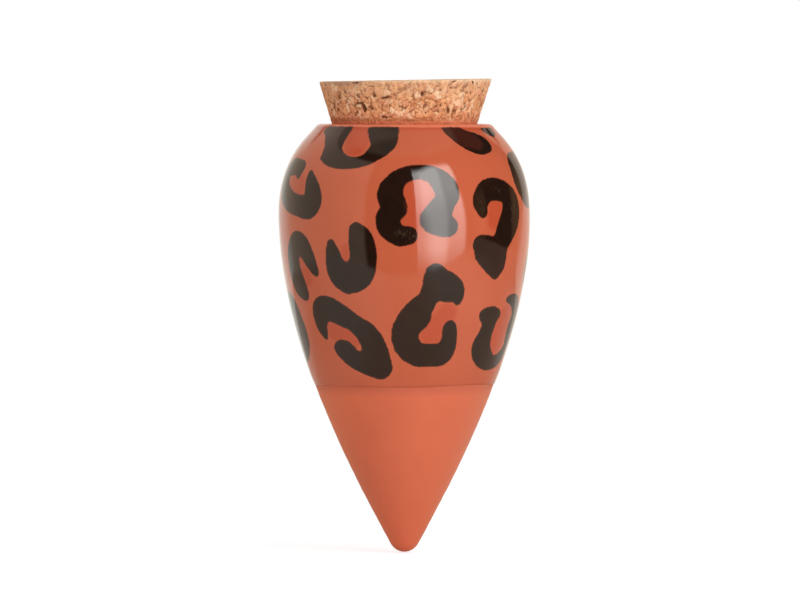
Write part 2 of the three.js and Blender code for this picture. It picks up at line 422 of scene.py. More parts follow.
# Brush strokes of each spot: degrees to the right of the front, height above the line, half width.
SPOTS = {
    "rim_ring": [
        [(-57.5, 91.4, 1.5), (-50, 90.6, 2.9), (-42.6, 86.5, 3.8), (-40.5, 82.6, 4.0), (-30, 79.9, 2.3),
         (-19.8, 80.9, 2.2), (-11.6, 86.3, 4.1), (-12.6, 89.8, 5.1), (-13.8, 93, 5.6)],
        [(-41, 83, 2.4), (-46.5, 81.6, 0.9)],
        [(-45, 93, 5.5), (-42, 88, 3.8)],
    ],
    "rim_dab": [[(28.5, 92.7, 2.6), (35.8, 88.8, 4.3), (43, 86.9, 5.0), (49, 86.6, 3.9)]],
    "rim_fleck": [[(59, 91.2, 1.0), (65, 90.3, 1.9), (71, 91, 1.4)]],
    "crown": [
        [(1.6, 54.2, 3.2), (-2.5, 54.1, 3.4), (-7.0, 57.3, 4.0), (-7.4, 60.5, 4.2)],
        [(-4.2, 64, 4.2), (-6.6, 69, 4.4), (-3.5, 73.8, 3.1), (2, 76.1, 2.6), (8, 76.6, 2.5),
         (14.3, 75.3, 3.1), (18.6, 72, 4.2), (20.2, 69.1, 4.3), (19, 66.2, 3.6), (16.2, 63.1, 4.3),
         (12.8, 59.8, 4.4)],
        [(13.5, 59.5, 4.6), (18.5, 57.7, 3.9), (20.4, 57.3, 3.4)],
    ],
    "hook": [
        [(38.2, 62.3, 1.9), (37.2, 66, 3.2), (40.8, 69.7, 3.7), (47, 70.4, 4.0), (54, 69.1, 3.8),
         (57.9, 65.5, 4.9), (57.6, 60.5, 5.8), (54.1, 56, 5.3), (50.5, 51.5, 4.2)],
        [(37.3, 50.9, 3.2), (43, 49, 4.6), (49.5, 47, 4.1)],
        [(39.7, 47.9, 4.1), (45.6, 44.2, 4.1), (48.2, 41.0, 2.5)],
        [(50, 47, 4.0), (50.3, 43.5, 3.1)],
    ],
    "right_edge": [
        [(90, 79.4, 3.4), (84, 80.3, 3.6), (76, 80.3, 3.4), (69.8, 79.5, 3.6), (69.8, 76, 4.7),
         (71.2, 72.5, 4.9), (78, 68.6, 4.9), (87, 68, 3.9)],
        [(78, 75.5, 3.0), (86, 74.5, 3.0)],
    ],
    "left_cup": [
        [(-51.5, 76.5, 0.8), (-50.5, 74, 2.0), (-48.8, 71.5, 3.2), (-46.9, 66.5, 4.3), (-50, 64, 4.1),
         (-57, 64.5, 3.7), (-66, 66.0, 3.8), (-74, 69.5, 4.2), (-77, 74, 4.2), (-73.5, 78, 3.4),
         (-66, 78.2, 2.9), (-60.5, 78.2, 2.2)],
        [(-62, 77.5, 2.4), (-61, 74.8, 0.9)],
    ],
    "arrow": [
        [(-57.5, 33, 2.4), (-61.5, 36.5, 4.3), (-64, 41.5, 4.4), (-64.0, 47, 4.3), (-60, 51.2, 3.9),
         (-55, 50.5, 3.8), (-51, 46.5, 3.1), (-47.6, 42, 1.9), (-46.3, 40.3, 1.0)],
    ],
    "heart": [
        [(-35.7, 51.3, 1.4), (-34.9, 47, 3.0), (-33.4, 41, 3.8), (-28, 38.5, 4.8), (-21.4, 40.4, 4.8),
         (-19.3, 46, 4.8), (-20.1, 52.2, 4.5), (-22.4, 56.2, 2.5)],
        [(-31.2, 45.6, 0.9), (-29.4, 43.6, 1.0), (-28, 42.9, 1.1), (-26.6, 43.6, 1.0),
         (-25.4, 44.8, 0.9)],
        [(-27.6, 35.6, 2.0), (-27.5, 34.2, 0.9)],
    ],
    "long_hook": [
        [(-46.7, 17.4, 0.7), (-48.4, 22, 2.6), (-47, 27, 4.1), (-42, 28, 4.4), (-35, 26.1, 4.0),
         (-27.2, 23.1, 3.3), (-20, 19.0, 4.0), (-16.7, 14, 4.4), (-13.9, 7.7, 4.0)],
        [(-37.9, 13.8, 2.6), (-34.6, 12.9, 3.8), (-29.5, 9.9, 3.4), (-22, 8.6, 4.2), (-14.8, 7.4, 4.6)],
    ],
    "curl": [
        [(14.8, 40.6, 3.6), (16, 37.5, 5.1), (20.5, 35.9, 5.3), (25, 34.6, 3.6), (27, 31.8, 1.8),
         (26.7, 30, 0.7)],
        [(13.5, 37, 3.1), (11.3, 31.5, 3.4), (5.6, 26.3, 4.6), (0.5, 20, 4.6), (1.6, 15, 4.5),
         (7, 11.9, 4.2), (15, 11.6, 4.1), (21.5, 12.1, 3.9), (24.6, 16, 2.9), (24.2, 21, 2.5),
         (24, 22.3, 1.5)],
        [(8.5, 25, 3.4), (6, 24, 4)],
    ],
    "right_cup": [
        [(44.5, 25.6, 2.2), (49.5, 25, 3.6), (54.5, 25.6, 2.1)],
        [(49.8, 23.5, 3.7), (48.9, 19.5, 3.4), (47.5, 14, 4.6), (53, 10, 3.8), (61, 8.4, 2.5),
         (70, 9.8, 2.6), (77, 13.5, 2.9), (77, 20, 4.4), (77.5, 26, 4.0), (72, 29.7, 2.8), (66, 31, 1.7),
         (61.5, 30.9, 0.8)],
    ],
    "left_edge": [
        [(-90, 27.4, 2.4), (-85, 28.8, 3.9), (-77, 28.7, 4.2), (-72.5, 23.5, 4.5), (-72, 17, 5.0),
         (-79, 12.3, 4.0), (-88, 12.2, 3.0)],
        [(-77, 21, 4.3), (-78, 18, 4)],
    ],
    "right_sliver": [[(90, 46.5, 2.2), (85, 43.5, 3.2), (85, 40, 3.3), (91, 37.5, 3.2), (98, 40, 2.2)]],
}

# Thin wash of a deeper orange that fills the middle of a spot.
WASHES = {
    "rim_ring": [[(-28, 91, 5.0), (-27.5, 86, 4.2)]],
    "crown": [[(3, 71, 3.6), (6, 66, 3.4), (3, 60, 4.0)], [(4, 71, 3), (10, 70, 4)]],
    "hook": [[(47, 64, 3.6), (45.5, 59.5, 3.2)]],
    "left_cup": [[(-60, 71.5, 4.6)], [(-60, 71.5, 4.6), (-65, 72, 4.0)]],
    "arrow": [[(-56, 44, 3.2), (-53, 38, 2.0)]],
    "heart": [[(-27.8, 49.5, 1.2), (-28.2, 45.5, 1.2)]],
    "long_hook": [[(-40, 20.5, 3.2), (-30, 17.5, 3.6)]],
    "curl": [[(22, 27, 3.2), (15, 19, 4.2)]],
    "right_cup": [[(63, 25, 4.0), (61, 16, 4.6)]],
    "left_edge": [[(-84, 20.5, 4.2), (-80, 20.5, 4.0)]],
}

# The rest of the way round, spots come again: which one, degrees further round, millimetres higher.
FURTHER_ROUND = [
    ("rim_ring", 180, 0), ("rim_dab", 157, 0), ("rim_ring", 274, 0), ("rim_dab", 62, 0),
    ("crown", 180, 0), ("hook", 180, 0), ("left_cup", 187, -2), ("arrow", 180, 0),
    ("heart", 180, 0), ("long_hook", 180, 0), ("curl", 180, 0), ("right_cup", 177, 0),
    ("right_sliver", 172, 24), ("rim_dab", 216, -45), ("heart", 130, -27),
]

# Where the brush ran dry, and where the slip is so thin that the red clay shows in it.
DRY_ENDS = [
    [(-2.0, 54.6, 2.2), (4.5, 53.4, 2.8)],
    [(45, 70.4, 0.8), (49.5, 70.2, 0.8)],
    [(37.8, 63.2, 1.3), (37.6, 67.5, 1.6)],
    [(59.4, 66.5, 1.7), (59.6, 59.5, 1.7)],
]
THIN_PLACES = [
    [(29, 92.5, 3.4), (36, 88.9, 4.6), (43, 87.4, 4.0)],
    [(1, 66.5, 0.9), (1.6, 63.6, 1.2)],
    [(209, 91, 2.6), (219, 88.4, 3.0)],
    [(186, 55, 2.4)],
]


def all_round(strokes):
    """The strokes of every spot: as read from the front, and again further round the pot."""
    front = [stroke for spot in strokes.values() for stroke in spot]
    shifted = [
        [(angle + turn, height + lift, width) for angle, height, width in stroke]
        for name, turn, lift in FURTHER_ROUND
        for stroke in strokes.get(name, [])
    ]
    return front + shifted


def dabs(stroke):
    """Chain of round dabs: a Catmull-Rom curve through the stroke's marks."""
    marks = np.array(stroke, float)
    marks = np.vstack([marks, marks]) if len(marks) == 1 else marks
    marks = np.vstack([2 * marks[0] - marks[1], marks, 2 * marks[-1] - marks[-2]])
    share = np.linspace(0, 1, DABS + 1)[:, None, None]
    before, start, end, after = marks[:-3], marks[1:-2], marks[2:-1], marks[3:]
    curve = 2 * start + (end - before) * share
    curve = curve + (2 * before - 5 * start + 4 * end - after) * share**2
    curve = curve + (3 * start - before - 3 * end + after) * share**3
    return curve.reshape(-1, 3) / 2


def brushed(points, strokes, surface_radius, furthest):
    """Distance from each point to the nearest dab's edge: negative inside it, at most furthest."""
    distance = np.full(points.shape[:-1], furthest)
    for stroke in strokes:
        angle, height, width = dabs(stroke).T
        angle = np.radians(angle)
        radius = surface_radius(height)
        chain = np.stack([radius * np.sin(angle), -radius * np.cos(angle), height], axis=1)
        reach = width.max() + furthest
        above = points > chain.min(axis=0) - reach
        below = points < chain.max(axis=0) + reach
        near = (above & below).all(axis=-1)
        gap = np.linalg.norm(points[near][:, None] - chain, axis=2) - width
        distance[near] = np.minimum(distance[near], gap.min(axis=1))
    return distance


def softened(values, passes):
    """Grid of values with its kinks rounded: repeated means of each point and its neighbours."""
    for _ in range(passes):
        values = (np.roll(values, 1, axis=1) + 2 * values + np.roll(values, -1, axis=1)) / 4
        above = np.vstack([values[1:], values[-1:]])
        below = np.vstack([values[:1], values[:-1]])
        values = (above + 2 * values + below) / 4
    return values


def carry(piece, name, values):
    """Puts one number on each point of the mesh, for its material to read."""
    layer = piece.data.attributes.new(name, "FLOAT", "POINT")
    layer.data.foreach_set("value", np.ravel(values).astype(np.float32))


def glazed_radius(height):
    """Radius of the glaze at a height on the belly or the shoulder."""
    return np.interp(height, outside[:, 1], outside[:, 0]) + GLAZE_PROUD


column = np.arange(GLAZE_STEPS) * 360 / GLAZE_STEPS - 180
wave_angle, wave_height = np.array(LINE_WAVE).T
line_height = np.interp(column, wave_angle, wave_height, period=360)[None]
line_height = softened(line_height, LINE_PASSES)[0]
top_run = outside_run[-1]
share = np.linspace(0, 1, FACE_RINGS)[:, None]
face_run = line_height + share * (top_run - line_height)
thinning = np.exp(-(((face_run - line_height) / THIN_LENGTH) ** 2))
face_proud = GLAZE_PROUD - GLAZE_THIN * thinning
back_run = np.linspace(1, 0, BACK_RINGS)[:, None] * (top_run - line_height) + line_height
turn = np.linspace(-np.pi / 2, np.pi / 2, BEAD_RINGS + 2)[1:-1, None]
bead_middle = (GLAZE_PROUD - GLAZE_THIN + GLAZE_BACK) / 2
bead_radius = (GLAZE_PROUD - GLAZE_THIN - GLAZE_BACK) / 2
bead_run = line_height - bead_radius * np.cos(turn)
bead_proud = bead_middle + bead_radius * np.sin(turn) + 0 * column
glaze_run = np.vstack([face_run, back_run, bead_run])
glaze_proud = np.vstack([face_proud, np.full_like(back_run, GLAZE_BACK), bead_proud])
glaze_rings = turned(*on_outside(glaze_run, glaze_proud), GLAZE_STEPS)
face = slice(0, FACE_RINGS)
swell = GLAZE_WAVE * ripples(glaze_rings[face], GLAZE_WAVE_LENGTH, 7)
swell = swell / np.linalg.norm(glaze_rings[face, :, :2], axis=-1)
glaze_rings[face, :, :2] *= 1 + swell[..., None]
glaze = new_piece("glaze_coat_surface", glaze_rings)

paint = brushed(glaze_rings, all_round(SPOTS), glazed_radius, PAINT_REACH)
wiped = glaze_rings[..., 2] + PAINT_TOP_SLOPE * glaze_rings[..., 0] - PAINT_TOP
paint[face] = softened(np.maximum(paint, wiped)[face], PAINT_PASSES)
paint[FACE_RINGS:] = PAINT_REACH
carry(glaze, "paint", paint)
carry(glaze, "wash", brushed(glaze_rings, all_round(WASHES), glazed_radius, PAINT_REACH))
carry(glaze, "dry", brushed(glaze_rings, DRY_ENDS, glazed_radius, PAINT_REACH))
carry(glaze, "thin", brushed(glaze_rings, THIN_PLACES, glazed_radius, PAINT_REACH))
carry(glaze, "line", glaze_run - line_height)
carry(glaze, "wiped", wiped)

glaze_material, finish = new_finish("spotted_glaze")
cloud = finish.grain(20, 2)
fleck = finish.grain(0.7, 3)
ground = finish.mix(0.5 + 0.35 * cloud + 0.18 * fleck, GLAZE_ORANGE, GLAZE_DEEP)
wash = finish.mark("wash") + 0.5 * finish.grain(2.5, 3)
ground = finish.mix(wash.rise(*WASH_EDGE) * 0.88, ground, GLAZE_WASH)
# Painted shade: the glaze darkens along its lower edge, at the bead.
bead_shade = (finish.mark("line") + 0.25 * finish.grain(3, 2)).rise(*BEAD_SHADE_EDGE)
ground = finish.mix(bead_shade * 0.18, ground, GLAZE_BEAD_SHADE)
rim = finish.mark("wiped") + 0.1 * finish.grain(4, 2)
ground = finish.mix(rim.rise(*RIM_LINE_EDGE) * 0.48, ground, RIM_LINE)
ground = finish.mix(rim.rise(*RIM_WIPED_EDGE), ground, RIM_WIPED)
wobble = 0.14 * finish.grain(4.0, 2) + 0.18 * finish.grain(1.5, 3) + 0.11 * finish.grain(0.45, 2)
edge = finish.mark("paint") + wobble - SLIP_SPREAD
streak = finish.grain(0.45, 2, finish.stretched(1, 1, 0.3))
slip = finish.mix(0.4 + 0.4 * finish.grain(3.5, 3), SLIP_BLACK, SLIP_BROWN)
thin = (finish.mark("thin") + 0.5 * finish.grain(1.2, 3)).rise(*THIN_EDGE)
slip = finish.mix(thin, slip, SLIP_RED)
dry = finish.mark("dry").rise(*DRY_EDGE) * streak.rise(0.0, 0.7)
slip = finish.mix(dry * 0.85, slip, SLIP_DRY)
slip = finish.mix(edge.rise(*SLIP_FEATHER), slip, SLIP_THIN)
cover = edge.rise(*SLIP_EDGE)
finish.end("Material", finish.add("BsdfPrincipled", {}, {
    "Base Color": finish.mix(cover, ground, slip),
    "Roughness": GLAZE_GLOSS + 0.02 * cloud + WIPED_ROUGHNESS * rim.rise(0, 0.4),
    "IOR": GLAZE_INDEX,
    "Normal": finish.bump(finish.grain(2.5, 2), PEEL_DEPTH),
}))
glaze.data.materials.append(glaze_material)
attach(glaze, "pot")
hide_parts("glaze_coat")

# Cork stopper: a tapered plug turned from a block of cork granules, pressed together with binder.
# The granules show as tan, cream and red-brown crumbs with thin dark seams, and pits where one fell out.
# Its top is sawn a little out of square. It is pushed in by hand, and nothing else holds it.
CORK_TOP = 109.0
CORK_BOTTOM = 83.0
CORK_TOP_RADIUS = 31.0
CORK_EDGE = 0.8
CORK_STEPS = 540
CORK_RING = 0.33
UNDERSIDE_RING = 1.1
UPSIDE_RING = 0.42
CORK_MIDDLE = 0.6
CORK_LEAN = 0.021
CORK_SEATED = 91.5
SAWN_SLOPE = 0.0165
SAWN_RISE = 0.1
GRANULE = 2.3
GRANULE_LIFT = 0.12
SEAM_DEPTH = 0.12
SEAM_WIDTH = 0.22
CORNER_DEPTH = 0.15
CORNER_WIDTH = 0.35
PIT_DEPTH = 0.55
PIT_SPACING = 5.0
PIT_CHANCE = 0.7
PIT_INSET = 1.9
PIT_INSET_SPREAD = 0.6
PIT_DEEPEST = -0.5
PIT_WOBBLE = 0.1
PITS_BY_CHANCE_FROM = -8.0
SEED_TABLE = 64
RELIEF_TOP = 0.06
CURL = 0.38
CURL_LENGTH = 2.6
FINE_CURL = 0.14
FINE_CURL_LENGTH = 1.1
PIT_REACH = 2.0
RUB_REACH = 3.0
CORK_ROUGHNESS = 0.85
CRUMB_DEPTH = 0.18

# Heights where the colour changes: painted highlight on the top edge, pale high up, redder towards the
# rim (painted bounce light and stain), painted shade and orange band at the rim.
TOP_EDGE_HIGHLIGHT = (107.4, 109.4)
TOP_PALE = (101.5, 106.5)
FOOT_BOUNCE_AND_STAIN = (98.5, 95.0)
RIM_SHADE = (96.2, 94.9)
RIM_STAIN_AND_BOUNCE = (94.7, 94.3)
RIM_COLLAR = (90.6, 92.4)
RIM_SHADE_LEFT = (14, 7)

# Millimetres from the edge of a seam, corner, gap, rubbed place or pit over which its colour fades out.
SEAM_EDGE = (0.22, 0.03)
CORNER_FADE = (0.50, 0.15)
GAP_EDGE = (0.18, -0.03)
RUB_EDGE = (0.5, -0.6)
PIT_EDGE = (0.35, -0.2)

CORK_TAN = (0.86, 0.395, 0.180, 1)
CORK_CREAM = (1.00, 0.680, 0.430, 1)
CORK_PINK = (0.80, 0.310, 0.165, 1)
CORK_RED = (0.62, 0.205, 0.088, 1)
CORK_SEAM_AND_SHADE = (0.42, 0.135, 0.044, 1)
CORK_CORNER = (0.210, 0.058, 0.017, 1)
CORK_PIT = (0.160, 0.048, 0.016, 1)
CORK_WORN = (0.50, 0.290, 0.210, 1)
CORK_STAIN_AND_BOUNCE = (0.84, 0.245, 0.120, 1)

# Pits that a missing granule leaves: degrees to the right of the front, height, half width.
PITS = [
    [(-36.9, 101.0, 0.3), (-33.0, 100.9, 0.6), (-31.6, 99.6, 0.65), (-31.2, 98.0, 0.4)],
    [(-16.9, 102.6, 0.3), (-14.0, 102.9, 0.35), (-10.5, 103.1, 0.35)],
    [(-17.4, 96.0, 0.3), (-14.0, 95.8, 0.25), (-10.7, 96.0, 0.2)],
    [(34.2, 98.4, 0.65), (35.2, 97.2, 0.4)],
    [(52.0, 108.0, 0.35), (53.4, 107.5, 0.4)],
    [(35.7, 108.6, 0.3), (33.4, 108.0, 0.25)],
    [(-60.2, 98.5, 0.5)],
    [(-22.6, 103.3, 0.35)],
    [(12.0, 104.0, 0.5)],
    [(52.5, 105.9, 0.25)],
    [(52.5, 104.4, 0.3)],
    [(33.4, 106.1, 0.3)],
    [(24.9, 105.3, 0.3)],
    [(23.0, 101.4, 0.3)],
    [(23.1, 99.6, 0.3)],
    [(27.3, 99.9, 0.35)],
    [(53.8, 101.2, 0.25)],
    [(15.9, 97.4, 0.25)],
    [(-37.5, 108.4, 0.4), (-34.3, 108.4, 0.4)],
]

# Gaps between granules that show as thin curved lines.
GAPS = [
    [(-41.6, 103.8, 0.12), (-38.2, 103.0, 0.16), (-35.2, 101.8, 0.1)],
    [(12.9, 101.7, 0.14), (15.7, 102.4, 0.16), (19.4, 102.1, 0.16), (22.8, 101.3, 0.2)],
    [(4.3, 99.6, 0.12), (6.4, 100.6, 0.14), (9.4, 100.3, 0.14), (11.8, 99.2, 0.14)],
    [(5.2, 98.2, 0.1), (8.1, 98.8, 0.12), (11.2, 98.2, 0.1)],
    [(2.8, 101.1, 0.1), (5.6, 102.1, 0.12), (9.2, 102.0, 0.1)],
    [(-17.1, 100.3, 0.14), (-17.0, 98.6, 0.16), (-14.5, 98.1, 0.1)],
    [(-11.1, 100.4, 0.14), (-11.5, 98.4, 0.14)],
    [(4.0, 96.6, 0.1), (8.0, 95.8, 0.16), (14.0, 95.5, 0.14), (20.5, 95.9, 0.16)],
]

# Grey rubbed places along the top edge.
RUBS = [[(-73, 108.6, 0.7), (-54, 108.5, 0.8), (-40, 108.5, 0.9), (-29, 108.7, 0.6)]]


def granules(points, size, seed):
    """Cells round scattered seeds, one seed in each cube of a grid: the distance in millimetres
    to the seam between the two nearest seeds, and to the corner where a third meets them,
    and the two random numbers of the nearest."""
    table = np.random.default_rng(seed).random((SEED_TABLE, SEED_TABLE, SEED_TABLE, 5))
    cube = np.floor(points / size).astype(int)
    nearest = np.full(points.shape[:-1], np.inf)
    second = nearest.copy()
    third = nearest.copy()
    own = np.zeros(points.shape[:-1] + (2,))
    for step in np.ndindex(3, 3, 3):
        cell = cube + np.array(step) - 1
        drawn = table[tuple(np.moveaxis(cell % SEED_TABLE, -1, 0))]
        gap = np.linalg.norm(cell + drawn[..., :3] - points / size, axis=-1)
        closer = gap < nearest
        third = np.where(gap < second, second, np.minimum(third, gap))
        second = np.where(closer, nearest, np.minimum(second, gap))
        own = np.where(closer[..., None], drawn[..., 3:], own)
        nearest = np.where(closer, gap, nearest)
    return (second - nearest) * size / 2, (third - nearest) * size / 2, own


def cork_radius(height):
    """Radius of the straight taper at a height."""
    return CORK_TOP_RADIUS - (CORK_TOP - height) * SEAT_SLOPE


side_way = np.array([SEAT_SLOPE, 1]) / np.hypot(SEAT_SLOPE, 1)
bottom_corner = np.array([cork_radius(CORK_BOTTOM), CORK_BOTTOM])
top_corner = np.array([CORK_TOP_RADIUS, CORK_TOP])
edge_inward = np.array([CORK_EDGE, 0])
edge_upward = CORK_EDGE * side_way
bottom_edge = worn_corner(bottom_corner - edge_inward, bottom_corner, bottom_corner + edge_upward)
top_edge = worn_corner(top_corner - edge_upward, top_corner, top_corner - edge_inward)
underside = evenly(np.array([(CORK_MIDDLE, CORK_BOTTOM), bottom_edge[0]]), UNDERSIDE_RING)
side = evenly(np.vstack([bottom_edge, top_edge]), CORK_RING)
upside = evenly(np.array([top_edge[-1], (CORK_MIDDLE, CORK_TOP)]), UPSIDE_RING)
cork_path = np.vstack([underside, side[1:], upside[1:]])
cork_side = right_of(cork_path)
cork_rings = turned(cork_path[:, :1], cork_path[:, 1:], CORK_STEPS)
cork_out = turned(cork_side[:, :1], cork_side[:, 1:], CORK_STEPS)
curl = CURL * np.stack([ripples(cork_rings, CURL_LENGTH, seed) for seed in (11, 12, 13)], axis=-1)
fine_curl = np.stack([ripples(cork_rings, FINE_CURL_LENGTH, seed) for seed in (14, 15, 16)], axis=-1)
curl += FINE_CURL * fine_curl
seam, corner, own = granules(cork_rings + curl, GRANULE, 21)
gap, _, pit_own = granules(cork_rings + curl * 0.5, PIT_SPACING, 23)
behind = cork_rings[..., 1] >= PITS_BY_CHANCE_FROM
pit = brushed(cork_rings, PITS, cork_radius, PIT_REACH)
chance_pit = PIT_INSET + PIT_INSET_SPREAD * pit_own[..., 1] - gap
chance_pit = np.where((pit_own[..., 0] > PIT_CHANCE) & behind, chance_pit, PIT_REACH)
pit = np.minimum(pit, np.maximum(chance_pit, PIT_DEEPEST)) + PIT_WOBBLE * curl[..., 0] / CURL
between = brushed(cork_rings, GAPS, cork_radius, PIT_REACH)
sunk = np.clip(0.5 - pit, 0, 1)
relief = GRANULE_LIFT * (own[..., 0] - 0.5)
groove = np.minimum(seam, np.maximum(between, 0))
relief -= SEAM_DEPTH * np.exp(-((groove / SEAM_WIDTH) ** 2))
relief -= CORNER_DEPTH * np.exp(-((corner / CORNER_WIDTH) ** 2))
relief -= PIT_DEPTH * sunk
relief *= np.clip(cork_path[:, :1] / AXIS_FADE, 0, 1)
cork_rings = cork_rings + cork_out * np.minimum(relief, RELIEF_TOP)[..., None]


def askew(points):
    """The plug as it sits: x grows with height above the seat, and the top's height grows with x."""
    x, y, z = np.moveaxis(points, -1, 0)
    sawn = np.clip((z - CORK_SEATED) / (CORK_TOP - CORK_SEATED), 0, None)
    leaning = x + CORK_LEAN * (z - CORK_SEATED)
    return np.stack([leaning, y, z + sawn * (SAWN_SLOPE * x + SAWN_RISE)], axis=-1)


cork_ends = np.array([(0, 0, CORK_BOTTOM), (0, 0, CORK_TOP)])
cork = new_piece("cork_stopper_surface", askew(cork_rings), askew(cork_ends))
rub = brushed(cork_rings, RUBS, cork_radius, RUB_REACH)
# The last two numbers of each are for the end points on the axis.
ends = [0.5, 0.5]
carry(cork, "tint", np.append(own[..., 0], ends))
carry(cork, "blush", np.append(own[..., 1], ends))
carry(cork, "seam", np.append(seam, ends))
carry(cork, "corner", np.append(corner, ends))
carry(cork, "pit", np.append(pit, [PIT_REACH, PIT_REACH]))
carry(cork, "gap", np.append(between, [PIT_REACH, PIT_REACH]))
carry(cork, "rub", np.append(rub, [RUB_REACH, RUB_REACH]))

cork_material, finish = new_finish("pressed_cork")
fine = finish.grain(0.35, 2)
soft = finish.grain(1.5, 2)
patch = finish.grain(4.5, 2)
bark = finish.grain(1.5, 2, finish.curled(1.8, 0.7))
line = bark.maths("ABSOLUTE", bark).rise(0.20, 0.04) * patch.rise(-0.2, 0.5)
fleck = finish.grain(0.75, 2, finish.curled(1.0, 0.3))
tint = finish.mark("tint") + 0.14 * soft + 0.22 * fleck + 0.12 * fine
grains = finish.mix(tint.rise(0.38, 1.20), CORK_TAN, CORK_CREAM)
grains = finish.mix(finish.mark("blush").rise(0.65, 0.95) * 0.6, grains, CORK_PINK)
grains = finish.mix(tint.rise(0.30, -0.10) * 0.7, grains, CORK_RED)
grains = finish.mix(fleck.rise(0.45, 0.90) * 0.7, grains, CORK_CREAM)
grains = finish.mix(line * 0.4, grains, CORK_SEAM_AND_SHADE)
grains = finish.mix(fleck.rise(-0.45, -0.85) * patch.rise(-0.6, 0.2) * 0.75, grains, CORK_SEAM_AND_SHADE)
seam_line = (finish.mark("seam") + 0.05 * fine).rise(*SEAM_EDGE) * soft.rise(0.6, -0.3)
grains = finish.mix(seam_line * 0.75, grains, CORK_SEAM_AND_SHADE)
corner_dot = (finish.mark("corner") + 0.10 * fine).rise(*CORNER_FADE)
corner_dot = corner_dot * finish.grain(2.2, 2).rise(0.0, 0.4)
grains = finish.mix(corner_dot * 0.9, grains, CORK_CORNER)
gap_line = (finish.mark("gap") + 0.06 * fine).rise(*GAP_EDGE)
grains = finish.mix(gap_line * 0.9, grains, CORK_SEAM_AND_SHADE)
height = finish.along("Z") + 0.25 * patch
# Painted highlight: cream along the cork's top edge.
grains = finish.mix((height + 0.3 * soft).rise(*TOP_EDGE_HIGHLIGHT) * 0.65, grains, CORK_CREAM)
grains = finish.mix((height + 0.5 * soft).rise(*TOP_PALE) * 0.17, grains, CORK_CREAM)
rubbed = (finish.mark("rub") + 0.5 * soft).rise(*RUB_EDGE)
grains = finish.mix(rubbed * 0.7, grains, CORK_WORN)
# Redder towards the rim: painted red light bounced from the clay, and partly a red stain.
grains = finish.mix((height + 0.5 * soft).rise(*FOOT_BOUNCE_AND_STAIN) * 0.35, grains, CORK_RED)
collar = (height + 0.4 * soft).rise(*RIM_COLLAR)
# Painted shade on the cork just above the rim, stronger towards the left, in the seams' dark colour.
shade = (height + 0.2 * fine + 0.3 * soft).rise(*RIM_SHADE)
shade = shade * (0.2 + 0.45 * finish.along("X").rise(*RIM_SHADE_LEFT))
grains = finish.mix(shade * collar, grains, CORK_SEAM_AND_SHADE)
# Orange band just above the rim: partly a red stain, partly painted red light bounced from the clay rim.
stain_and_bounce = height.rise(*RIM_STAIN_AND_BOUNCE) * (0.74 + 0.22 * soft)
grains = finish.mix(stain_and_bounce * collar, grains, CORK_STAIN_AND_BOUNCE)
grains = finish.mix((finish.mark("pit") + 0.12 * fine).rise(*PIT_EDGE), grains, CORK_PIT)
finish.end("Material", finish.add("BsdfPrincipled", {}, {
    "Base Color": grains,
    "Roughness": CORK_ROUGHNESS + 0.08 * fine,
    "Specular IOR Level": 0.2,
    "Normal": finish.bump(0.2 * fine + 0.4 * soft + 0.5 * fleck - 0.6 * line, CRUMB_DEPTH),
}))
cork.data.materials.append(cork_material)
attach(cork, "stopper")
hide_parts("cork_stopper")

# Studio: a pale table that the tip touches, in a white room that the camera sees as a plain backdrop.
# A tall softbox stands to the right of the camera and a pale wall to the left; the room fills the rest.
# The camera is far off with a long lens, a little above the cork.
FLOOR_HEIGHT = -60.3
FLOOR_FRONT = 300.0
FLOOR_BACK = 500.0
FLOOR_HALF_WIDTH = 900.0
FLOOR_LEFT = 480.0
FLOOR_FADE = 45.0
FLOOR_POINTS = 121
BRIGHT_BESIDE = (40, 160)
BRIGHT_IN_FRONT = (-40, 80)
FAR_RIGHT = (250, 600)
BACKLIT_BEHIND = (90, 250)
BACKLIT_BESIDE = (480, 330)
FLOOR_WHITE = (0.60, 0.60, 0.60, 1)
FLOOR_PALE = (0.86, 0.79, 0.72, 1)
FLOOR_CREAM = (0.86, 0.64, 0.50, 1)
FLOOR_BRIGHT = (1.00, 0.86, 0.74, 1)
FLOOR_BACKLIT = (1.00, 0.88, 0.74, 1)
FLOOR_FAR = (0.70, 0.44, 0.33, 1)
BLACK = (0, 0, 0, 1)
WHITE = (1, 1, 1, 1)
FLOOR_GLOW = 0.66
ROOM_FILL = (0.53, 0.53, 0.53, 1)
ROOM_DARK = (0.03, 0.03, 0.03, 1)
ROOM_DIM = (0.34, 0.20, 0.11, 1)
WALL_PALE = (0.80, 0.64, 0.50, 1)
WALL_HIGH = (1.00, 0.76, 0.62, 1)
BACKDROP_LEFT = (1.04, 1.02, 0.92, 1)
BACKDROP_RIGHT = (0.84, 0.66, 0.56, 1)
BACKDROP_LOW = (0.96, 0.84, 0.70, 1)
CEILING_PALE = (0.40, 0.35, 0.28, 1)
SOFTBOX_WHITE = (1.0, 0.99, 0.955, 1)
SOFTBOX_GLARE = 8.3
SOFTBOX_LIGHT = 2.15
SOFTBOX_PLACE = (0.66, -1.01, 0.42)
SOFTBOX_AIM = (0, 0, 0.03)
SOFTBOX_SIZE = (1.1, 1.5)
WALL_LIGHT = 0.19
WALL_PLACE = (-0.6, 0, 0.2)
WALL_AIM = (0, 0, 0.2)
WALL_SIZE = (1.9, 0.86)
CAMERA_PLACE = (0.0, -3.5, 0.115)
CAMERA_AIM = (-0.00158, 0.0, 0.0303)
CAMERA_LENS = 439.6
CAMERA_SENSOR = 36.0
CAMERA_REACH = 100.0

